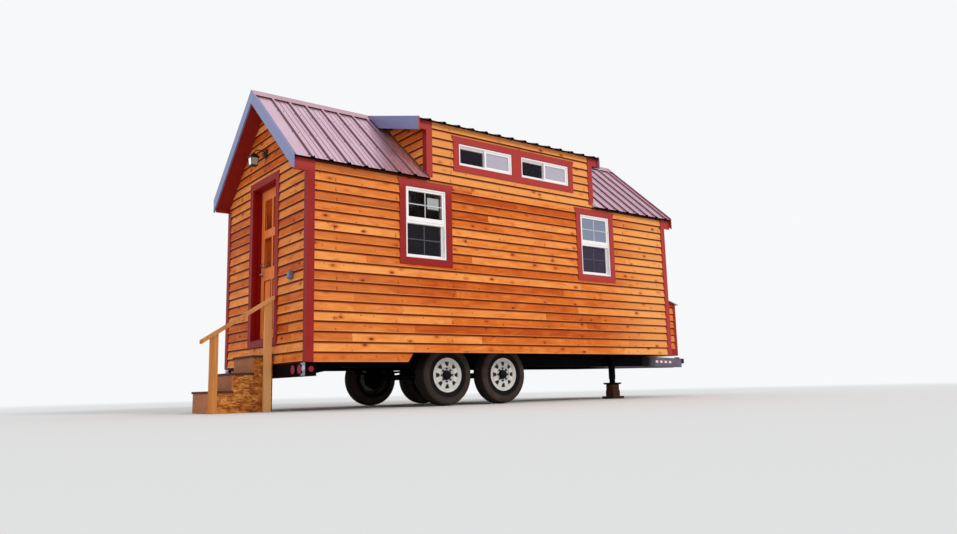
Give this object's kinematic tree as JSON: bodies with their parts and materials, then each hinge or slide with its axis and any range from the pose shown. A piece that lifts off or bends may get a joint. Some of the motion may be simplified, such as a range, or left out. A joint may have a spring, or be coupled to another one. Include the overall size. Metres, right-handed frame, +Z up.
{
  "type": "tiny house on wheels",
  "caption": "Small timber house on a two-axle trailer, with a steep ribbed metal roof, shed dormers, an inward door, a stair and a towing coupler.",
  "frame": {"origin": "on the ground, at the centre of the whole object's length and width", "axes": "+X along the house towards the towing coupler, -Y towards the side with the handrail, +Z up"},
  "size_m": [8.952, 2.6292, 4.0195],
  "materials": {
    "cedar_boards": "orange stained cedar lap boards, satin",
    "red_trim": "brick red painted trim boards, satin",
    "door_frame_paint": "deep red painted jambs",
    "red_soffit": "deep red painted soffit boards",
    "roof_sheet": "burgundy ribbed sheet, glossy",
    "rake_flashing": "burgundy folded flashing, glossy",
    "white_vinyl": "white vinyl",
    "window_glass": "clear double glazing",
    "door_glass": "clear glass",
    "door_fir": "clear finished fir",
    "door_metal": "satin nickel",
    "floor_boards": "plank floor",
    "black_steel": "black enamel",
    "lamp_red": "red lamp lens",
    "tyre_rubber": "black rubber",
    "rim_white": "white enamel",
    "block_wood": "weathered sawn blocks",
    "composite_board": "brown composite deck board",
    "strand_board": "oriented strand board",
    "raw_fir": "bare construction fir",
    "lantern_black": "black cast finish",
    "outlet_grey": "grey weatherproof cover",
    "zinc_sheet": "galvanised sheet"
  },
  "bodies": {
    "root": {"near_wall": "cedar_boards", "far_wall": "cedar_boards", "near_door_wall": "cedar_boards", "far_door_wall": "cedar_boards", "door_gable": "cedar_boards", "hitch_wall": "cedar_boards", "skirt": "cedar_boards", "dormer_cheeks": "cedar_boards", "utility_box": "cedar_boards", "corner_boards": "red_trim", "window_casings": "red_trim", "door_casing": "red_trim", "eave_returns": "red_trim", "utility_box_trim": "red_trim", "door_frame": "door_frame_paint", "rear_roof_deck": "red_soffit", "front_roof_deck": "red_soffit", "dormer_roof_deck": "red_soffit", "rear_roof_metal": "roof_sheet", "front_roof_metal": "roof_sheet", "dormer_roof_metal": "roof_sheet", "ridge_cap": "roof_sheet", "rake_trim": "rake_flashing", "near_window_frames": "white_vinyl", "far_window_frames": "white_vinyl", "near_window_glass": "window_glass", "far_window_glass": "window_glass", "frame_hinges": "door_metal", "floor_deck": "floor_boards", "near_beam": "black_steel", "far_beam": "black_steel", "rear_floor_frame": "black_steel", "front_floor_frame": "black_steel", "wheel_bay_frame": "black_steel", "rear_bumper": "black_steel", "axles": "black_steel", "leaf_springs": "black_steel", "jack": "black_steel", "coupler": "black_steel", "tail_lights": "lamp_red", "jack_blocks": "block_wood", "stair_treads": "composite_board", "stair_risers": "composite_board", "stair_sides": "strand_board", "handrail": "raw_fir", "porch_lantern": "lantern_black", "outlet_box": "outlet_grey", "utility_box_roof": "zinc_sheet"},
    "door": {"door_leaf": "door_fir", "door_glass": "door_glass", "door_hardware": "door_metal"},
    "near_rear_wheel": {"near_rear_tyre": "tyre_rubber", "near_rear_rim": "rim_white"},
    "near_front_wheel": {"near_front_tyre": "tyre_rubber", "near_front_rim": "rim_white"},
    "far_rear_wheel": {"far_rear_tyre": "tyre_rubber", "far_rear_rim": "rim_white"},
    "far_front_wheel": {"far_front_tyre": "tyre_rubber", "far_front_rim": "rim_white"}
  },
  "joints": [
    {"name": "door_hinge", "type": "hinge", "parent": "root", "child": "door", "pos_m": [-3.456, -0.358, 1.82], "axis": [0, 0, -1], "range_deg": [0, 105]},
    {"name": "near_rear_wheel_spin", "type": "hinge", "parent": "root", "child": "near_rear_wheel", "pos_m": [-1.589, -0.936, 0.384], "axis": [0, 1, 0], "continuous": true},
    {"name": "near_front_wheel_spin", "type": "hinge", "parent": "root", "child": "near_front_wheel", "pos_m": [-0.674, -0.936, 0.384], "axis": [0, 1, 0], "continuous": true},
    {"name": "far_rear_wheel_spin", "type": "hinge", "parent": "root", "child": "far_rear_wheel", "pos_m": [-1.589, 0.936, 0.384], "axis": [0, 1, 0], "continuous": true},
    {"name": "far_front_wheel_spin", "type": "hinge", "parent": "root", "child": "far_front_wheel", "pos_m": [-0.674, 0.936, 0.384], "axis": [0, 1, 0], "continuous": true}
  ]
}
